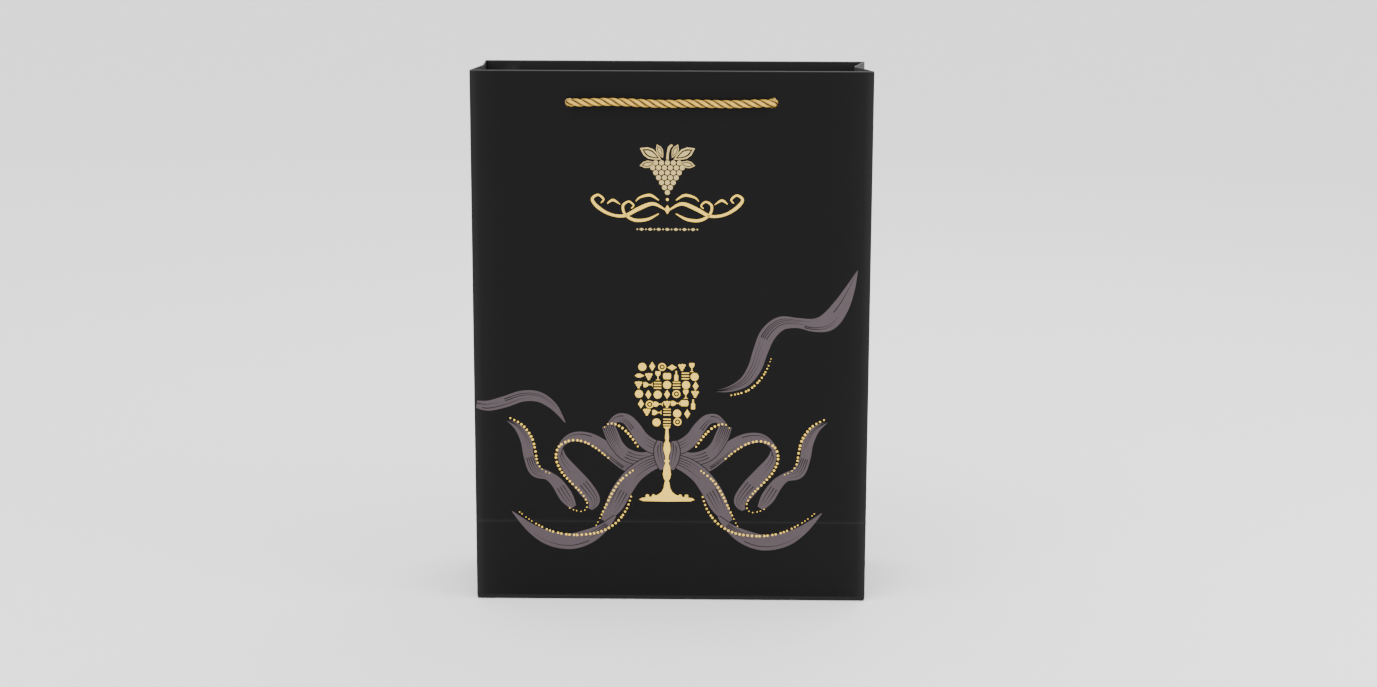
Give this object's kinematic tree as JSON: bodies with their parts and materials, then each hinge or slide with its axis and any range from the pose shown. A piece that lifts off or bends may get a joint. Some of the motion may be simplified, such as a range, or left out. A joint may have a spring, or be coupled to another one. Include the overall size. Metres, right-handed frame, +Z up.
{
  "type": "wine gift bag",
  "caption": "Tall gusseted paper gift bag with two rope handles, stiffened top, flat base board, and side, front and base creases that fold it flat.",
  "frame": {"origin": "centre of the underside, on the surface that the bag stands on", "axes": "+Z up, front face towards -Y, +X to the right of someone facing the front"},
  "size_m": [0.28, 0.1212, 0.38],
  "materials": {
    "printed_paper": "matt laminated, black outside",
    "grey_card": "greyboard",
    "base_card": "black-lined board",
    "gold_rope": "twisted cord, satin gold"
  },
  "bodies": {
    "back": {"back_panel": "printed_paper", "back_top_card": "grey_card", "back_hem": "printed_paper", "side_seam_tab": "printed_paper", "back_rope": "gold_rope", "back_rope_knot_left": "gold_rope", "back_rope_knot_right": "gold_rope"},
    "front": {"front_panel": "printed_paper", "front_top_card": "grey_card", "front_hem": "printed_paper", "front_rope": "gold_rope", "front_rope_knot_left": "gold_rope", "front_rope_knot_right": "gold_rope"},
    "front_lower": {"front_lower_band": "printed_paper"},
    "base": {"bottom_flap_front": "printed_paper", "bottom_flap_rear": "printed_paper", "bottom_flap_left": "printed_paper", "bottom_flap_right": "printed_paper", "base_board": "base_card"},
    "left_rear_half": {"left_gusset_rear": "printed_paper", "left_gusset_rear_hem": "printed_paper"},
    "left_front_half": {"left_gusset_front": "printed_paper", "left_gusset_front_hem": "printed_paper"},
    "left_foot": {"left_foot_triangle": "printed_paper"},
    "left_corner": {"left_corner_triangle": "printed_paper"},
    "right_rear_half": {"right_gusset_rear": "printed_paper", "right_gusset_rear_hem": "printed_paper"},
    "right_front_half": {"right_gusset_front": "printed_paper", "right_gusset_front_hem": "printed_paper"},
    "right_foot": {"right_foot_triangle": "printed_paper"},
    "right_corner": {"right_corner_triangle": "printed_paper"}
  },
  "joints": [
    {"name": "flat_fold", "type": "hinge", "parent": "back", "child": "left_rear_half", "pos_m": [-0.14, 0.0521, 0.19], "axis": [0, 0, 1], "range_deg": [0, 80]},
    {"name": "left_centre_crease", "type": "hinge", "parent": "left_rear_half", "child": "left_front_half", "pos_m": [-0.14, 0, 0.19], "axis": [0, 0, 1], "range_deg": [-160, 0]},
    {"name": "front_corner_crease", "type": "hinge", "parent": "left_front_half", "child": "front", "pos_m": [-0.14, -0.0521, 0.19], "axis": [0, 0, 1], "range_deg": [0, 80]},
    {"name": "right_corner_crease", "type": "hinge", "parent": "back", "child": "right_rear_half", "pos_m": [0.14, 0.0521, 0.19], "axis": [0, 0, 1], "range_deg": [-80, 0]},
    {"name": "right_centre_crease", "type": "hinge", "parent": "right_rear_half", "child": "right_front_half", "pos_m": [0.14, 0, 0.19], "axis": [0, 0, 1], "range_deg": [0, 160]},
    {"name": "front_cross_crease", "type": "hinge", "parent": "front", "child": "front_lower", "pos_m": [0, -0.055, 0.058], "axis": [-1, 0, 0], "range_deg": [0, 160]},
    {"name": "base_front_crease", "type": "hinge", "parent": "front_lower", "child": "base", "pos_m": [0, -0.055, 0.0029], "axis": [1, 0, 0], "range_deg": [0, 80]},
    {"name": "left_foot_crease", "type": "hinge", "parent": "base", "child": "left_foot", "pos_m": [-0.14, 0, 0.0029], "axis": [0, 1, 0], "range_deg": [0, 80], "deforming": ["left_foot_triangle"]},
    {"name": "right_foot_crease", "type": "hinge", "parent": "base", "child": "right_foot", "pos_m": [0.14, 0, 0.0029], "axis": [0, 1, 0], "range_deg": [-80, 0], "deforming": ["right_foot_triangle"]},
    {"name": "left_lower_corner_crease", "type": "hinge", "parent": "front_lower", "child": "left_corner", "pos_m": [-0.14, -0.0521, 0.03], "axis": [0, 0, 1], "range_deg": [-80, 0], "deforming": ["left_corner_triangle"]},
    {"name": "right_lower_corner_crease", "type": "hinge", "parent": "front_lower", "child": "right_corner", "pos_m": [0.14, -0.0521, 0.03], "axis": [0, 0, 1], "range_deg": [0, 80], "deforming": ["right_corner_triangle"]}
  ],
  "couplings": [
    {"joint": "left_centre_crease", "follows": "flat_fold", "ratio": -2},
    {"joint": "front_corner_crease", "follows": "flat_fold", "ratio": 1},
    {"joint": "right_corner_crease", "follows": "flat_fold", "ratio": -1},
    {"joint": "right_centre_crease", "follows": "flat_fold", "ratio": 2},
    {"joint": "front_cross_crease", "follows": "flat_fold", "ratio": 2},
    {"joint": "base_front_crease", "follows": "flat_fold", "ratio": 1},
    {"joint": "left_foot_crease", "follows": "flat_fold", "ratio": 1},
    {"joint": "right_foot_crease", "follows": "flat_fold", "ratio": -1},
    {"joint": "left_lower_corner_crease", "follows": "flat_fold", "ratio": -1},
    {"joint": "right_lower_corner_crease", "follows": "flat_fold", "ratio": 1}
  ]
}
